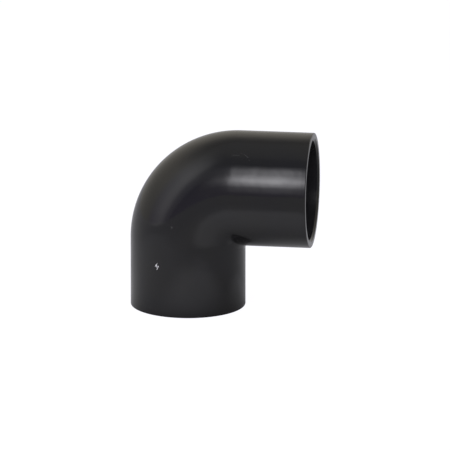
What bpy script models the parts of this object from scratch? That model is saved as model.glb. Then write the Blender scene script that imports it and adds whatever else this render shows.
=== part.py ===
"""Pool hose elbow: a 90 degree moulded plastic bend with two plain sockets.

One piece. The lower socket opens downwards and the elbow stands on its rim; the side socket
opens towards +X. Both are solvent-weld sockets for 50 mm pipe: a chamfered mouth, a slightly
tapered bore and a stop shoulder, beyond which the narrower waterway follows the bend.

Sizes are in metres. The bend is worked out about the crossing of the two socket axes, with the
lower leg along -Z and the side leg along +X, and the finished body is then lifted onto its rim.
"""
import math

import bmesh
import bpy

# Sockets and waterway
PIPE_DIAMETER = 0.050
MOUTH_CLEARANCE = 0.00012        # radial, at the mouth, where the pipe slides in
ROOT_INTERFERENCE = 0.00008      # radial, at the stop, where the taper grips the pipe
SOCKET_DEPTH = 0.031
SOCKET_WALL = 0.00488            # at the mouth
STOP_HEIGHT = 0.0020             # how far the shoulder stands in from the pipe's outside
THROAT_RADIUS = 0.0040           # of the waterway, at the inside of the bend
LOWER_LAND = 0.0053              # straight waterway between the stop and the bend
SIDE_LAND = 0.0074

# Edges
ENTRY_CHAMFER_WIDTH = 0.0009
ENTRY_CHAMFER_DEPTH = 0.00105
RIM_EDGE_RADIUS = 0.0004         # outer edge of each rim
STOP_EDGE_BREAK = 0.0005
CORNER_FILLET = 0.0025           # outside, along the mitre at the inner corner

# Fineness of the mesh
AROUND = 72                      # lengthwise lines round the body, a multiple of four
OUTSIDE_STEPS = 22               # sections along the outside of the bend, an even number
WATERWAY_STEPS = 16
SECTION_CROWDING = 1.3           # above 1, sections crowd towards the mitre
FAN_MARGIN = 0.0007              # from the corner's fillet to the line the sections fan about
SMOOTH_LIMIT = math.radians(30)

# Sizes that follow
SOCKET_MOUTH_RADIUS = PIPE_DIAMETER / 2 + MOUTH_CLEARANCE
SOCKET_ROOT_RADIUS = PIPE_DIAMETER / 2 - ROOT_INTERFERENCE
OUTER_RADIUS = SOCKET_MOUTH_RADIUS + SOCKET_WALL
WATERWAY_RADIUS = PIPE_DIAMETER / 2 - STOP_HEIGHT
BEND_RADIUS = WATERWAY_RADIUS + THROAT_RADIUS
LOWER_LEG = BEND_RADIUS + LOWER_LAND + SOCKET_DEPTH
SIDE_LEG = BEND_RADIUS + SIDE_LAND + SOCKET_DEPTH

MITRE_ANGLE = math.radians(45)
BLACK_PLASTIC = (0.017, 0.017, 0.018, 1.0)
PLASTIC_ROUGHNESS = 0.33


def circle(radius):
    """(towards the inside of the bend, across) for each lengthwise line of the body."""
    for i in range(AROUND):
        turn = 2 * math.pi * i / AROUND
        yield radius * math.cos(turn), radius * math.sin(turn)


def lower_ring(radius, depth):
    """A round section of the lower leg, at a depth above its mouth."""
    return [(inward, across, depth - LOWER_LEG) for inward, across in circle(radius)]


def side_ring(radius, depth):
    """A round section of the side leg, at a depth in from its mouth."""
    return [(SIDE_LEG - depth, across, -inward) for inward, across in circle(radius)]


def bend_point(inward, across, angle, pivot):
    """Where a plane that fans about the pivot line meets one lengthwise line of the body.

    The pivot line runs along Y through (pivot, -pivot). A lengthwise line comes straight up the
    lower leg, turns on its own arc and leaves along the side leg. Lines that would pass the
    bend's centre meet in a mitre at the inner corner, with only the corner's fillet between.
    """
    if angle > MITRE_ANGLE:
        x, y, z = bend_point(inward, across, 2 * MITRE_ANGLE - angle, pivot)
        return -z, y, -x
    arc_radius = max(BEND_RADIUS - inward, CORNER_FILLET)
    arc_centre = inward + arc_radius
    straight_height = (pivot - inward) * math.tan(angle) - pivot
    if straight_height <= -arc_centre:
        return inward, across, straight_height
    offset = pivot - arc_centre
    slant = offset * (math.cos(angle) + math.sin(angle))
    reach = slant + math.sqrt(slant ** 2 - 2 * offset ** 2 + arc_radius ** 2)
    return pivot - reach * math.cos(angle), across, reach * math.sin(angle) - pivot


def bend_rings(radius, steps):
    """Sections of the bend from the lower leg round to the side leg."""
    pivot = max(BEND_RADIUS, radius + CORNER_FILLET) + FAN_MARGIN
    rings = []
    for i in range(steps + 1):
        share = 2 * i / steps - 1
        crowded = math.copysign(abs(share) ** SECTION_CROWDING, share)
        angle = MITRE_ANGLE * (1 + crowded)
        rings.append([bend_point(inward, across, angle, pivot) for inward, across in circle(radius)])
    return rings


def socket_profile():
    """(radius, depth) round a socket's mouth, from the outside over the rim to the waterway."""
    edge_middle = RIM_EDGE_RADIUS * (1 - math.sin(MITRE_ANGLE))
    return [
        (OUTER_RADIUS, RIM_EDGE_RADIUS),
        (OUTER_RADIUS - edge_middle, edge_middle),
        (OUTER_RADIUS - RIM_EDGE_RADIUS, 0),
        (SOCKET_MOUTH_RADIUS + ENTRY_CHAMFER_WIDTH, 0),
        (SOCKET_MOUTH_RADIUS, ENTRY_CHAMFER_DEPTH),
        (SOCKET_ROOT_RADIUS, SOCKET_DEPTH),
        (WATERWAY_RADIUS + STOP_EDGE_BREAK, SOCKET_DEPTH),
        (WATERWAY_RADIUS, SOCKET_DEPTH + STOP_EDGE_BREAK),
    ]


def elbow_rings():
    """The body's sections, one closed round: up the outside and back through the waterway."""
    rings = [lower_ring(radius, depth) for radius, depth in reversed(socket_profile())]
    rings += bend_rings(OUTER_RADIUS, OUTSIDE_STEPS)
    rings += [side_ring(radius, depth) for radius, depth in socket_profile()]
    rings += reversed(bend_rings(WATERWAY_RADIUS, WATERWAY_STEPS))
    return rings


def skin(rings):
    """A closed mesh lofted through the rings, with the last joined to the first."""
    mesh = bmesh.new()
    loops = [[mesh.verts.new(point) for point in ring] for ring in rings]
    for i, loop in enumerate(loops):
        following = loops[(i + 1) % len(loops)]
        for j in range(AROUND):
            k = (j + 1) % AROUND
            mesh.faces.new((loop[j], loop[k], following[k], following[j]))
    bmesh.ops.recalc_face_normals(mesh, faces=mesh.faces)
    return mesh


def black_plastic():
    material = bpy.data.materials.new("black_plastic")
    material.use_nodes = True
    shader = material.node_tree.nodes["Principled BSDF"]
    shader.inputs["Base Color"].default_value = BLACK_PLASTIC
    shader.inputs["Roughness"].default_value = PLASTIC_ROUGHNESS
    shader.inputs["Metallic"].default_value = 0.0
    return material


def make_elbow():
    """The elbow, standing on its lower rim with the middle of its length over the origin."""
    mesh = bpy.data.meshes.new("elbow_body")
    sections = skin(elbow_rings())
    sections.to_mesh(mesh)
    sections.free()
    mesh.shade_smooth()
    mesh.set_sharp_from_angle(angle=SMOOTH_LIMIT)
    mesh.materials.append(black_plastic())
    elbow = bpy.data.objects.new("elbow_body", mesh)
    elbow.location = (-(SIDE_LEG - OUTER_RADIUS) / 2, 0, LOWER_LEG)
    bpy.context.scene.collection.objects.link(elbow)
    return elbow


for item in list(bpy.context.scene.objects):
    bpy.data.objects.remove(item, do_unlink=True)
make_elbow()
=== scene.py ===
"""The looks of a pool hose elbow: a moulded black plastic bend with two plain sockets.

The body is made again with a fine, smooth surface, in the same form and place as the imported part.
Its outside size comes from the frame, and the sizes inside it are those of a fitting for 50 mm
pipe. The broken gate on the lower leg is a piece of its own. All lengths are in metres, apart from
the camera's lens and sensor.
"""
import math

import bmesh
import bpy
from mathutils import Matrix, Vector, noise


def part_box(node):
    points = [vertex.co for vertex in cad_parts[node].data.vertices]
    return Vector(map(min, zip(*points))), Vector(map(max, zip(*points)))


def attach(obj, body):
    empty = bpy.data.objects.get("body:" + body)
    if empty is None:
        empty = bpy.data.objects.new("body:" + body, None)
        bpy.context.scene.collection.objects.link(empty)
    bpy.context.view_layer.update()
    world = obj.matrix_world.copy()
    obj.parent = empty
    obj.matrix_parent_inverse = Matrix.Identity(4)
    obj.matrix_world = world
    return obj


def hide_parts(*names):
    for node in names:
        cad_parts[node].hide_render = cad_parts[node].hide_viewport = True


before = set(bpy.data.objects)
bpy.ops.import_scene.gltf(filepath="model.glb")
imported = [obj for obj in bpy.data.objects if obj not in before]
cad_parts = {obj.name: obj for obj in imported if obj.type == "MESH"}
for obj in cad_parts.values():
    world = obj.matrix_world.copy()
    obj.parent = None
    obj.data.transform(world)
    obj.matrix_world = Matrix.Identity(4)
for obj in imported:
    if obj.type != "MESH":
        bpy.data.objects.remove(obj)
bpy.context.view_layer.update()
body_low, body_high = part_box("elbow_body")

# Sizes from the frame
OUTER_RADIUS = (body_high.y - body_low.y) / 2
SIDE_LEG = body_high.x - body_low.x - OUTER_RADIUS
LOWER_LEG = body_high.z - body_low.z - OUTER_RADIUS
CROSSING = Vector((body_high.x - SIDE_LEG, 0, body_low.z + LOWER_LEG))

# Sockets and waterway
SOCKET_MOUTH_RADIUS = 0.02602    # the draft that the photograph's mouth shows
SOCKET_ROOT_RADIUS = 0.02492
SOCKET_DEPTH = 0.031
WATERWAY_RADIUS = 0.023
BEND_RADIUS = 0.027
CORNER_FILLET = 0.0025
FAN_MARGIN = 0.0007              # from the corner's fillet to the line the sections fan about

# Edges
ENTRY_CHAMFER_WIDTH = 0.0012
ENTRY_CHAMFER_DEPTH = 0.0010
RIM_EDGE_RADIUS = 0.0004
STOP_EDGE_BREAK = 0.0005

# Fineness of the mesh
AROUND = 240                     # lengthwise lines of the body, and corners of the floor
SECTION_SPACING = 0.0022         # along the straight legs
OUTSIDE_STEPS = 96               # sections round the bend
WATERWAY_STEPS = 48
SECTION_CROWDING = 1.3           # above 1, the bend's sections crowd towards its mitre
ROUND_EDGE_STEPS = 4
SMOOTH_LIMIT = math.radians(30)  # an edge that turns further stays sharp
MITRE_ANGLE = math.radians(45)   # half of the bend's turn

# Relief of the moulded surface
PARTING_HEIGHT = 0.00004         # the mould's parting line, in the body's plane of symmetry
PARTING_HALF_WIDTH = 0.00022
RING_MARKS = (0.0042, 0.0029)    # distances from the side mouth
RING_HEIGHT = 0.000004
RING_HALF_WIDTH = 0.00018
WAVE_HEIGHT = 0.00005
WAVE_SIZE = 0.0065
GRAIN_HEIGHT = 0.0000008
GRAIN_SIZE = 0.0003
SKIN_DETAIL = 1.0                # of both noises

# Scuffs and specks on the surface
STROKE_CORE = 0.25               # share of a stroke's half width that has its full strength
SCUFFS = (
    # start, end, half width, whiteness of the base colour
    ((0.0084, -0.0198, 0.0858), (0.0120, -0.0198, 0.0859), 0.00034, 0.018),
    ((0.0126, -0.0188, 0.0867), (0.0146, -0.0193, 0.0863), 0.00022, 0.017),
    ((0.0146, -0.0193, 0.0863), (0.0167, -0.0207, 0.0850), 0.00028, 0.024),
    ((0.0172, -0.0216, 0.0842), (0.0176, -0.0219, 0.0838), 0.00022, 0.018),
    ((-0.0220, -0.0292, 0.0485), (-0.0219, -0.0292, 0.0483), 0.0009, 0.025),
    ((0.0296, -0.0255, 0.0790), (0.0298, -0.0255, 0.0790), 0.00026, 0.0),
)
SCUFF_ROUGHNESS = 0.45

# Gate mark: where the sprue was broken off the lower leg
GATE_ANGLE = math.radians(-24)   # round the lower leg, from -Y towards +X
GATE_HEIGHT = 0.0264
GATE_LEAN = math.radians(30)     # of the lobes' long sides, from upright
GATE_LOBES = (
    # across, up, half width, half height, proud
    (-0.00058, 0.00066, 0.00050, 0.00088, 0.00040),
    (0.00054, 0.00016, 0.00034, 0.00054, 0.00022),
    (0.00008, -0.00038, 0.00042, 0.00036, 0.00014),
    (-0.00016, 0.00172, 0.00014, 0.00040, 0.00004),
    (-0.00016, -0.00120, 0.00016, 0.00036, 0.00004),
)
GATE_FINENESS = 4                # subdivisions of each lobe's ball
GATE_TEAR = 0.35                 # unevenness, as a share of a lobe's size
GATE_TEAR_SIZE = 0.0005

# Camera, at the photograph's angle
VIEW_AZIMUTH = math.radians(8.071)
VIEW_ELEVATION = math.radians(14.98)
VIEW_ROLL = math.radians(0.047)
CAMERA_DISTANCE = 4.5
AIM_FROM_CROSSING = Vector((0.01943, 0, -0.02036))
LENS = 690.8                     # millimetres, as the sensor's width is
SENSOR_WIDTH = 36
CLIP_END = 100

# Plastic
WARM_BLACK = (0.0066, 0.0063, 0.0063)
COOL_BLACK = (0.0060, 0.0058, 0.0068)
BLOTCH_SIZE = 0.022
BLOTCH_DETAIL = 2.0
BLOTCH_EDGES = (0.35, 0.65)      # levels of the noise, from the cool black to the warm one
PLASTIC_IOR = 1.5
PLASTIC_SHINE = 0.35             # specular level
SMOOTH_ROUGHNESS = 0.085
DULL_ROUGHNESS = 0.125
SMEAR_SIZE = 0.009
SMEAR_DETAIL = 4.0
SMEAR_EDGES = (0.35, 0.7)        # levels of the noise, from smooth to dull
# lighter than the outside's black: painted light in the shade inside the sockets
BORE_PAINTED_LIGHT_BLACK = (0.0175, 0.0175, 0.0188)
BORE_ROUGHNESS = 0.19

# Torn plastic of the gate, coloured pale: a painted highlight of the light the stub catches
TORN_DARK = (0.34, 0.34, 0.345)
# the white of the stub's painted highlight
TORN_WHITE = (0.86, 0.86, 0.87)
TORN_SIZE = 0.0004
TORN_DETAIL = 3.0
TORN_EDGES = (0.35, 0.6)         # levels of the noise, from dark to white
TORN_ROUGHNESS = 0.5

# Studio
STUDIO_MIDDLE = Vector((0.015, -0.02, 0.06))  # where the lamps aim
FLOOR_RADIUS = 6.0
FLOOR_COLOUR = (0.60, 0.60, 0.60, 1)
BACKDROP_WHITE = 1.15
BACKDROP_SHARE = 0.85            # of the backdrop's white in what the camera sees of the floor

# The floor as the plastic mirrors it: paper lit from the left, with three pools of light on it
POOLS = (
    # start, end, reach, light on top of the paper's
    ((0.0, -0.078, 0.0), (0.022, -0.08, 0.0), 0.072, 0.42),
    ((-0.25, -0.15, 0.0), (-0.1, -0.09, 0.0), 0.16, 0.18),
    ((0.035, 0.01, 0.0), (0.05, 0.015, 0.0), 0.035, 0.24),
)
PAPER_TINT = (0.985, 0.98, 1.03, 1)
PAPER_LIGHT = (0.615, 0.67)      # elsewhere, and towards the light
LIT_WAY = (-0.93, -0.37, 0.0)    # towards the light
LIT_WAY_EDGES = (0.6, 1.0)       # cosines from that way
SHADED_WAY = (0.45, 0.89, 0.0)   # behind the elbow
SHADED_WAY_EDGES = (-0.3, 0.9)   # cosines from that way
SHADED_SHARE = 0.78              # of the paper's light that is left there
SHELTER = 0.1                    # reach of the elbow's own shade on the paper
SHELTER_DEPTH = 1.05             # exponent that deepens that shade

# (height from the horizon to overhead, colour) of the room behind the camera and beyond the elbow
ROOM_BEFORE = (
    (0.00, (0.46, 0.425, 0.56)),
    (0.30, (0.39, 0.37, 0.48)),
    (0.80, (0.325, 0.335, 0.40)),
    (0.95, (0.41, 0.42, 0.45)),
    (1.00, (0.59, 0.595, 0.60)),
)
ROOM_BEYOND = (
    (0.00, (0.62, 0.60, 0.56)),
    (0.26, (0.63, 0.605, 0.555)),
    (0.45, (0.72, 0.68, 0.60)),
    (0.60, (0.69, 0.65, 0.575)),
    (0.70, (0.52, 0.495, 0.45)),
    (0.80, (0.38, 0.37, 0.35)),
    (0.85, (0.36, 0.352, 0.335)),
    (0.90, (0.46, 0.455, 0.44)),
    (1.00, (0.57, 0.57, 0.565)),
)
ROOM_MIDDLE = (-0.3, 0.1)        # from -Y towards +Y, over which one turns into the other

# (place, strength) over each lamp's diffuser, from its foot to its top, and from left to right as
# it is seen from behind
KEY_ACROSS = (
    (0.0, 0.0), (0.13, 0.025), (0.2, 0.05), (0.26, 0.07), (0.32, 0.085), (0.37, 0.13),
    (0.405, 0.24), (0.418, 0.42), (0.43, 0.54), (0.455, 0.55), (0.465, 0.64), (0.475, 0.79),
    (0.485, 0.93), (0.495, 1.0), (0.5035, 0.68), (0.512, 0.5), (1.0, 0.4),
)
KEY_UPWARD = (
    (0.0, 0.003), (0.05, 0.015), (0.11, 0.06), (0.2, 0.11), (0.265, 0.15), (0.32, 0.39),
    (0.38, 0.62), (0.45, 0.94), (0.51, 1.0), (0.56, 0.81), (0.64, 0.59), (0.69, 0.45),
    (0.79, 0.38), (0.84, 0.3), (0.88, 0.2), (0.92, 0.11), (1.0, 0.02),
)
FILL_ACROSS = (
    (0.0, 0.0), (0.12, 0.0), (0.2, 0.02), (0.3, 0.06), (0.4, 0.15), (0.48, 0.32), (0.57, 0.68),
    (0.66, 0.98), (0.72, 1.0), (0.77, 0.77), (0.81, 0.41), (0.86, 0.26), (0.93, 0.16), (1.0, 0.0),
)
FILL_UPWARD = (
    (0.0, 0.32), (0.14, 0.52), (0.22, 0.67), (0.3, 0.76), (0.37, 0.82), (0.45, 0.88), (0.55, 1.0),
    (0.62, 0.98), (0.68, 0.84), (0.75, 0.66), (0.83, 0.35), (0.92, 0.1), (1.0, 0.03),
)
SOFT_EDGES = ((0.0, 0.0), (0.2, 0.5), (0.4, 1.0), (0.6, 1.0), (0.8, 0.5), (1.0, 0.0))


def circle(radius):
    """(towards the inside of the bend, across) for each lengthwise line of the body."""
    for i in range(AROUND):
        turn = 2 * math.pi * i / AROUND
        yield radius * math.cos(turn), radius * math.sin(turn)


def lower_ring(radius, depth):
    """A round section of the lower leg, at a depth above its mouth."""
    return radius, [(inward, across, depth - LOWER_LEG) for inward, across in circle(radius)]


def side_ring(radius, depth):
    """A round section of the side leg, at a depth in from its mouth."""
    return radius, [(SIDE_LEG - depth, across, -inward) for inward, across in circle(radius)]


def bend_point(inward, across, angle, pivot):
    """Where a plane that fans about the pivot line meets one lengthwise line of the body.

    The line runs straight up the lower leg, turns on an arc of its own and runs on along the side
    leg. The bend's second half mirrors its first.
    """
    if angle > MITRE_ANGLE:
        x, y, z = bend_point(inward, across, 2 * MITRE_ANGLE - angle, pivot)
        return -z, y, -x
    arc_radius = max(BEND_RADIUS - inward, CORNER_FILLET)
    arc_centre = inward + arc_radius
    straight_height = (pivot - inward) * math.tan(angle) - pivot
    if straight_height <= -arc_centre:
        return inward, across, straight_height
    offset = pivot - arc_centre
    slant = offset * (math.cos(angle) + math.sin(angle))
    reach = slant + math.sqrt(slant ** 2 - 2 * offset ** 2 + arc_radius ** 2)
    return pivot - reach * math.cos(angle), across, reach * math.sin(angle) - pivot


def fan_pivot(radius):
    """Distance of the line the bend's sections fan about, along both legs from their crossing."""
    return max(BEND_RADIUS, radius + CORNER_FILLET) + FAN_MARGIN


def bend_rings(radius, steps):
    """Sections of the bend from the lower leg round to the side leg."""
    pivot = fan_pivot(radius)
    rings = []
    for i in range(steps + 1):
        share = 2 * i / steps - 1
        crowded = math.copysign(abs(share) ** SECTION_CROWDING, share)
        angle = MITRE_ANGLE * (1 + crowded)
        points = [bend_point(inward, across, angle, pivot) for inward, across in circle(radius)]
        rings.append((radius, points))
    return rings


def straight_run(start, end):
    """(radius, depth) points after start, up to end."""
    steps = max(1, round(abs(end[1] - start[1]) / SECTION_SPACING))
    return [tuple(a + (b - a) * i / steps for a, b in zip(start, end)) for i in range(1, steps + 1)]


def rim_edge():
    """(radius, depth) round the rim's outer edge, from the outside to the flat face."""
    points = []
    for i in range(ROUND_EDGE_STEPS + 1):
        turn = math.pi / 2 * i / ROUND_EDGE_STEPS
        points.append((OUTER_RADIUS - RIM_EDGE_RADIUS * (1 - math.cos(turn)),
                       RIM_EDGE_RADIUS * (1 - math.sin(turn))))
    return points


def socket_profile(leg):
    """(radius, depth) of one socket, from the bend down its outside, over the rim to the waterway."""
    bend_end = (OUTER_RADIUS, leg - fan_pivot(OUTER_RADIUS))
    outside = straight_run(bend_end, (OUTER_RADIUS, RIM_EDGE_RADIUS))
    chamfer = [
        (SOCKET_MOUTH_RADIUS + ENTRY_CHAMFER_WIDTH, 0),
        (SOCKET_MOUTH_RADIUS, ENTRY_CHAMFER_DEPTH),
    ]
    bore = straight_run(chamfer[-1], (SOCKET_ROOT_RADIUS, SOCKET_DEPTH))
    stop = [
        (WATERWAY_RADIUS + STOP_EDGE_BREAK, SOCKET_DEPTH),
        (WATERWAY_RADIUS, SOCKET_DEPTH + STOP_EDGE_BREAK),
    ]
    return outside[:-1] + rim_edge() + chamfer + bore + stop


def elbow_rings():
    """The body's sections, one closed round: up the outside and back through the waterway."""
    rings = [lower_ring(radius, depth) for radius, depth in reversed(socket_profile(LOWER_LEG))]
    rings += bend_rings(OUTER_RADIUS, OUTSIDE_STEPS)
    rings += [side_ring(radius, depth) for radius, depth in socket_profile(SIDE_LEG)]
    rings += reversed(bend_rings(WATERWAY_RADIUS, WATERWAY_STEPS))
    return rings


def loft(rings):
    """A closed mesh through the rings, the last joined to the first; the bore has material 1."""
    mesh = bmesh.new()
    loops = [(radius, [mesh.verts.new(point) for point in ring]) for radius, ring in rings]
    for (radius, loop), (next_radius, following) in zip(loops, loops[1:] + loops[:1]):
        in_bore = max(radius, next_radius) <= SOCKET_MOUTH_RADIUS
        for j in range(len(loop)):
            k = (j + 1) % len(loop)
            face = mesh.faces.new((loop[j], loop[k], following[k], following[j]))
            face.material_index = int(in_bore)
    bmesh.ops.recalc_face_normals(mesh, faces=mesh.faces)
    return mesh


def new_piece(name, mesh, *materials):
    """A piece of the object, smooth but for its sharp edges, riding on the frame's one body."""
    data = bpy.data.meshes.new(name)
    mesh.to_mesh(data)
    mesh.free()
    data.shade_smooth()
    data.set_sharp_from_angle(angle=SMOOTH_LIMIT)
    for material in materials:
        data.materials.append(material)
    piece = bpy.data.objects.new(name, data)
    bpy.context.scene.collection.objects.link(piece)
    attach(piece, "root")
    return piece


def make_body():
    """The whole moulding, with its sockets and waterway."""
    mesh = loft(elbow_rings())
    mesh.transform(Matrix.Translation(CROSSING))
    body = new_piece("elbow_moulding", mesh, black_plastic(), bore_plastic())
    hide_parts("elbow_body")


def gate_lobe(mesh, across, up, half_width, half_height, proud):
    """One lump of torn plastic, half sunk in the wall of the lower leg."""
    lump = bmesh.ops.create_icosphere(mesh, subdivisions=GATE_FINENESS, radius=1)["verts"]
    turn = GATE_ANGLE + across / OUTER_RADIUS
    outward = Vector((math.sin(turn), -math.cos(turn), 0))
    level = Vector((math.cos(turn), math.sin(turn), 0))
    along = level * math.sin(GATE_LEAN) + Vector((0, 0, math.cos(GATE_LEAN)))
    beside = along.cross(outward)
    axis = Vector((CROSSING.x, 0, 0))
    middle = axis + outward * OUTER_RADIUS + Vector((0, 0, GATE_HEIGHT + up))
    for vertex in lump:
        point = vertex.co.copy()
        place = (beside * point.x * half_width + along * point.y * half_height
                 + outward * point.z * proud)
        torn = 1 + GATE_TEAR * noise.noise((middle + place) / GATE_TEAR_SIZE)
        vertex.co = middle + place * torn


def make_gate_mark():
    """The torn stub of the gate."""
    mesh = bmesh.new()
    for lobe in GATE_LOBES:
        gate_lobe(mesh, *lobe)
    new_piece("gate_scar", mesh, torn_stub_painted_highlight())


def plug(tree, value, socket):
    """Links another node's output to a socket, or sets a plain value on it."""
    if isinstance(value, bpy.types.NodeSocket):
        tree.links.new(value, socket)
    else:
        socket.default_value = value


def add_math(tree, operation, *values, clamp=False):
    """Arithmetic on numbers."""
    node = tree.nodes.new("ShaderNodeMath")
    node.operation = operation
    node.use_clamp = clamp
    for socket, value in zip(node.inputs, values):
        plug(tree, value, socket)
    return node.outputs[0]


def add_vector_math(tree, operation, first, second=None):
    """Vector arithmetic: a vector, or a number where the operation gives one."""
    node = tree.nodes.new("ShaderNodeVectorMath")
    node.operation = operation
    plug(tree, first, node.inputs[0])
    if second is not None:
        plug(tree, second, node.inputs["Scale" if operation == "SCALE" else 1])
    return node.outputs["Value" if operation in ("DOT_PRODUCT", "LENGTH") else "Vector"]


def add_place(tree):
    """The point's own place in the frame."""
    return tree.nodes.new("ShaderNodeTexCoord").outputs["Object"]


def add_split(tree, vector):
    """A vector's three parts."""
    node = tree.nodes.new("ShaderNodeSeparateXYZ")
    plug(tree, vector, node.inputs[0])
    return node.outputs["X"], node.outputs["Y"], node.outputs["Z"]


def add_noise(tree, place, size, detail):
    """Noise with features of about the given size."""
    node = tree.nodes.new("ShaderNodeTexNoise")
    plug(tree, place, node.inputs["Vector"])
    node.inputs["Scale"].default_value = 1 / size
    node.inputs["Detail"].default_value = detail
    return node.outputs["Fac"]


def add_mix(tree, share, first, second):
    """A colour between two."""
    node = tree.nodes.new("ShaderNodeMix")
    node.data_type = "RGBA"
    plug(tree, share, node.inputs["Factor"])
    for name, value in (("A", first), ("B", second)):
        socket = [s for s in node.inputs if s.name == name and s.type == "RGBA"][0]
        plug(tree, (*value, 1) if isinstance(value, tuple) else value, socket)
    return [s for s in node.outputs if s.type == "RGBA"][0]


def add_range(tree, value, low, high, to_low, to_high):
    """A value moved smoothly from one range to another, and held at its ends."""
    node = tree.nodes.new("ShaderNodeMapRange")
    node.interpolation_type = "SMOOTHSTEP"
    for name, setting in (("Value", value), ("From Min", low), ("From Max", high),
                          ("To Min", to_low), ("To Max", to_high)):
        plug(tree, setting, node.inputs[name])
    return node.outputs["Result"]


def add_ramp(tree, value, stops):
    """A colour or a strength for each value, through (place, level) stops."""
    node = tree.nodes.new("ShaderNodeValToRGB")
    elements = node.color_ramp.elements
    elements.remove(elements[1])
    for i, (place, level) in enumerate(stops):
        element = elements.new(place) if i else elements[0]
        element.position = place
        element.color = (*level, 1) if isinstance(level, tuple) else (level, level, level, 1)
    plug(tree, value, node.inputs["Fac"])
    return node.outputs["Color"]


def add_ridge(tree, value, place, half_width, height):
    """Height of a smooth ridge where a value passes a place."""
    distance = add_math(tree, "ABSOLUTE", add_math(tree, "SUBTRACT", value, place))
    return add_range(tree, distance, 0.0, half_width, height, 0.0)


def add_stroke(tree, place, start, end, half_width):
    """1 on a short straight stroke, fading out at its edges."""
    along = Vector(end) - Vector(start)
    offset = add_vector_math(tree, "SUBTRACT", place, start)
    share = add_math(tree, "DIVIDE", add_vector_math(tree, "DOT_PRODUCT", offset, along),
                     along.length_squared, clamp=True)
    nearest = add_vector_math(tree, "SCALE", along, share)
    distance = add_vector_math(tree, "LENGTH", add_vector_math(tree, "SUBTRACT", offset, nearest))
    return add_range(tree, distance, STROKE_CORE * half_width, half_width, 1.0, 0.0)


def add_bump(tree, shader, heights):
    """Relief from a list of heights in metres, taken at their true size."""
    total = heights[0]
    for height in heights[1:]:
        total = add_math(tree, "ADD", total, height)
    node = tree.nodes.new("ShaderNodeBump")
    node.inputs["Distance"].default_value = 1.0
    plug(tree, total, node.inputs["Height"])
    plug(tree, node.outputs["Normal"], shader.inputs["Normal"])


def add_skin(tree, place):
    """Heights of the moulded skin's slow waves and fine grain."""
    waves = add_noise(tree, place, WAVE_SIZE, SKIN_DETAIL)
    grain = add_noise(tree, place, GRAIN_SIZE, SKIN_DETAIL)
    return [add_math(tree, "MULTIPLY", waves, WAVE_HEIGHT),
            add_math(tree, "MULTIPLY", grain, GRAIN_HEIGHT)]


def add_scuffs(tree, place, colour, roughness):
    """The colour and the roughness with each scuff and speck laid over them."""
    for start, end, half_width, whiteness in SCUFFS:
        mark = add_stroke(tree, place, start, end, half_width)
        colour = add_mix(tree, mark, colour, (whiteness, whiteness, whiteness))
        scuffed = add_math(tree, "MULTIPLY", mark, SCUFF_ROUGHNESS)
        roughness = add_math(tree, "MAXIMUM", roughness, scuffed)
    return colour, roughness


def new_material(name):
    """A new material, its nodes and its shader."""
    material = bpy.data.materials.new(name)
    material.use_nodes = True
    return material, material.node_tree, material.node_tree.nodes["Principled BSDF"]


def set_gloss(shader):
    """The gloss of the moulded plastic."""
    shader.inputs["IOR"].default_value = PLASTIC_IOR
    shader.inputs["Specular IOR Level"].default_value = PLASTIC_SHINE


def black_plastic():
    """Moulded black plastic, glossy, with the faint unevenness and scuffs of a handled part."""
    material, tree, shader = new_material("black_plastic")
    place = add_place(tree)
    blotches = add_noise(tree, place, BLOTCH_SIZE, BLOTCH_DETAIL)
    warmth = add_range(tree, blotches, *BLOTCH_EDGES, 0.0, 1.0)
    colour = add_mix(tree, warmth, COOL_BLACK, WARM_BLACK)
    smears = add_noise(tree, place, SMEAR_SIZE, SMEAR_DETAIL)
    roughness = add_range(tree, smears, *SMEAR_EDGES, SMOOTH_ROUGHNESS, DULL_ROUGHNESS)
    colour, roughness = add_scuffs(tree, place, colour, roughness)
    plug(tree, colour, shader.inputs["Base Color"])
    plug(tree, roughness, shader.inputs["Roughness"])
    along, across, _ = add_split(tree, place)
    rings = [add_ridge(tree, along, body_high.x - distance, RING_HALF_WIDTH, RING_HEIGHT)
             for distance in RING_MARKS]
    parting = add_ridge(tree, across, 0.0, PARTING_HALF_WIDTH, PARTING_HEIGHT)
    add_bump(tree, shader, [*add_skin(tree, place), parting, *rings])
    set_gloss(shader)
    return material


def bore_plastic():
    """The same plastic inside the sockets and the waterway, duller, and lighter in colour: painted
    light in their shade.
    """
    material, tree, shader = new_material("bore_plastic")
    add_bump(tree, shader, add_skin(tree, add_place(tree)))
    # a lighter black than outside: painted light inside the sockets
    shader.inputs["Base Color"].default_value = (*BORE_PAINTED_LIGHT_BLACK, 1)
    shader.inputs["Roughness"].default_value = BORE_ROUGHNESS
    set_gloss(shader)
    return material


def torn_stub_painted_highlight():
    """Black plastic of the torn stub, coloured pale grey to white: a painted highlight of the light
    it catches.
    """
    material, tree, shader = new_material("torn_stub_painted_highlight")
    grain = add_noise(tree, add_place(tree), TORN_SIZE, TORN_DETAIL)
    highlighted = add_range(tree, grain, *TORN_EDGES, 0.0, 1.0)
    # pale grain: the stub's painted highlight
    colour = add_mix(tree, highlighted, TORN_DARK, TORN_WHITE)
    plug(tree, colour, shader.inputs["Base Color"])
    shader.inputs["Roughness"].default_value = TORN_ROUGHNESS
    return material


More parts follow.
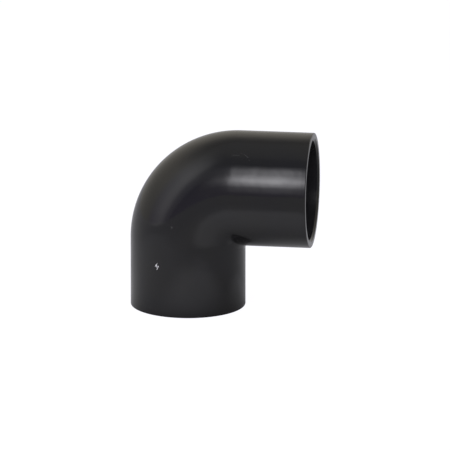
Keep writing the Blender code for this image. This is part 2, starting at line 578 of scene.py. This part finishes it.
def mirrored_light(tree):
    """How bright the plastic mirrors the floor, by place: the paper, its pools, the elbow's shade."""
    place = add_place(tree)
    way = add_vector_math(tree, "NORMALIZE", place)
    lit = add_vector_math(tree, "DOT_PRODUCT", way, LIT_WAY)
    light = add_range(tree, lit, *LIT_WAY_EDGES, *PAPER_LIGHT)
    for start, end, reach, strength in POOLS:
        pool = add_math(tree, "MULTIPLY", add_stroke(tree, place, start, end, reach), strength)
        light = add_math(tree, "ADD", light, pool)
    shaded = add_vector_math(tree, "DOT_PRODUCT", way, SHADED_WAY)
    shelter = tree.nodes.new("ShaderNodeAmbientOcclusion")
    shelter.inputs["Distance"].default_value = SHELTER
    under_elbow = add_math(tree, "POWER", shelter.outputs["AO"], SHELTER_DEPTH)
    behind_elbow = add_range(tree, shaded, *SHADED_WAY_EDGES, 1.0, SHADED_SHARE)
    return add_math(tree, "MULTIPLY", light, add_math(tree, "MULTIPLY", behind_elbow, under_elbow))


def floor_white():
    """Pale matt floor. The camera sees most of it as plain white, with a little of its shading."""
    material, tree, shader = new_material("floor_white")
    shader.inputs["Base Color"].default_value = FLOOR_COLOUR
    shader.inputs["Roughness"].default_value = 1.0
    shader.inputs["Specular IOR Level"].default_value = 0.0
    ray = tree.nodes.new("ShaderNodeLightPath").outputs
    mirrored = add_math(tree, "MAXIMUM", ray["Is Glossy Ray"], ray["Is Transmission Ray"])
    seen = add_math(tree, "MULTIPLY", ray["Is Camera Ray"], BACKDROP_SHARE)
    white = tree.nodes.new("ShaderNodeEmission")
    backdrop = add_math(tree, "MULTIPLY", ray["Is Camera Ray"], BACKDROP_WHITE)
    reflected = add_math(tree, "MULTIPLY", mirrored, mirrored_light(tree))
    white.inputs["Color"].default_value = PAPER_TINT
    plug(tree, add_math(tree, "MAXIMUM", backdrop, reflected), white.inputs["Strength"])
    mix = tree.nodes.new("ShaderNodeMixShader")
    plug(tree, add_math(tree, "MAXIMUM", seen, mirrored), mix.inputs["Fac"])
    plug(tree, shader.outputs["BSDF"], mix.inputs[1])
    plug(tree, white.outputs["Emission"], mix.inputs[2])
    plug(tree, mix.outputs["Shader"], tree.nodes["Material Output"].inputs["Surface"])
    return material


def make_floor():
    """The floor that the lower socket's rim stands on."""
    mesh = bmesh.new()
    bmesh.ops.create_circle(mesh, cap_ends=True, radius=FLOOR_RADIUS, segments=AROUND)
    data = bpy.data.meshes.new("floor")
    mesh.to_mesh(data)
    mesh.free()
    data.materials.append(floor_white())
    floor = bpy.data.objects.new("floor", data)
    floor.location.z = body_low.z
    bpy.context.scene.collection.objects.link(floor)


def make_room():
    """The room's own light: dim and cool behind the camera, brighter and warmer beyond the elbow."""
    world = bpy.data.worlds.new("studio_room")
    bpy.context.scene.world = world
    world.use_nodes = True
    tree = world.node_tree
    _, beyond, height = add_split(tree, tree.nodes.new("ShaderNodeTexCoord").outputs["Generated"])
    room = add_mix(tree, add_range(tree, beyond, *ROOM_MIDDLE, 0.0, 1.0),
                   add_ramp(tree, height, ROOM_BEFORE), add_ramp(tree, height, ROOM_BEYOND))
    plug(tree, room, tree.nodes["Background"].inputs["Color"])


def softbox(name, azimuth, elevation, distance, spans, radiance, colour, across, upward, slant=0.0):
    """A lamp with a shaded diffuser, placed and sized by angles seen from the elbow.

    Azimuth turns from -Y towards +X, in degrees as all its angles are. The spans are the width and
    the height. The slant draws the shading's foot to the right and its top to the left, and is that
    shift as a share of the lamp's width.
    """
    a, e = math.radians(azimuth), math.radians(elevation)
    way = Vector((math.sin(a) * math.cos(e), -math.cos(a) * math.cos(e), math.sin(e)))
    data = bpy.data.lights.new(name, "AREA")
    data.shape = "RECTANGLE"
    data.size, data.size_y = (2 * distance * math.tan(math.radians(span) / 2) for span in spans)
    data.energy = radiance * math.pi * data.size * data.size_y
    data.color = colour
    data.use_nodes = True
    tree = data.node_tree
    right, up, _ = add_split(tree, tree.nodes.new("ShaderNodeNewGeometry").outputs["Parametric"])
    above_middle = add_math(tree, "SUBTRACT", up, 0.5)
    slanted = add_math(tree, "ADD", right, add_math(tree, "MULTIPLY", above_middle, slant))
    strength = add_math(tree, "MULTIPLY", add_ramp(tree, slanted, across), add_ramp(tree, up, upward))
    plug(tree, strength, tree.nodes["Emission"].inputs["Strength"])
    lamp = bpy.data.objects.new(name, data)
    lamp.location = STUDIO_MIDDLE + way * distance
    lamp.rotation_euler = way.to_track_quat("Z", "Y").to_euler()
    lamp.visible_camera = False
    bpy.context.scene.collection.objects.link(lamp)


def make_camera():
    """The photograph's view, through a long lens from far away."""
    data = bpy.data.cameras.new("camera")
    data.lens = LENS
    data.sensor_width = SENSOR_WIDTH
    data.clip_end = CLIP_END
    back = Vector((math.sin(VIEW_AZIMUTH) * math.cos(VIEW_ELEVATION),
                   -math.cos(VIEW_AZIMUTH) * math.cos(VIEW_ELEVATION),
                   math.sin(VIEW_ELEVATION)))
    level = Vector((math.cos(VIEW_AZIMUTH), math.sin(VIEW_AZIMUTH), 0))
    right = level * math.cos(VIEW_ROLL) + back.cross(level) * math.sin(VIEW_ROLL)
    up = back.cross(right)
    place = CROSSING + AIM_FROM_CROSSING + back * CAMERA_DISTANCE
    camera = bpy.data.objects.new("camera", data)
    turned = Matrix((right, up, back)).transposed().to_4x4()
    camera.matrix_world = Matrix.Translation(place) @ turned
    bpy.context.scene.collection.objects.link(camera)
    bpy.context.scene.camera = camera


make_camera()
make_body()
make_gate_mark()
make_floor()
make_room()
softbox("key", azimuth=-6, elevation=31, distance=0.55, spans=(50, 58), radiance=12.1,
        colour=(0.97, 0.96, 1.0), across=KEY_ACROSS, upward=KEY_UPWARD, slant=0.06)
softbox("fill", azimuth=-88, elevation=34, distance=1.1, spans=(100, 80), radiance=1.36,
        colour=(1.0, 1.0, 0.98), across=FILL_ACROSS, upward=FILL_UPWARD, slant=0.21)
softbox("back", azimuth=140, elevation=38, distance=0.9, spans=(44, 30), radiance=2.6,
        colour=(1.0, 1.0, 1.0), across=SOFT_EDGES, upward=SOFT_EDGES)

bpy.context.scene.view_settings.view_transform = "Standard"
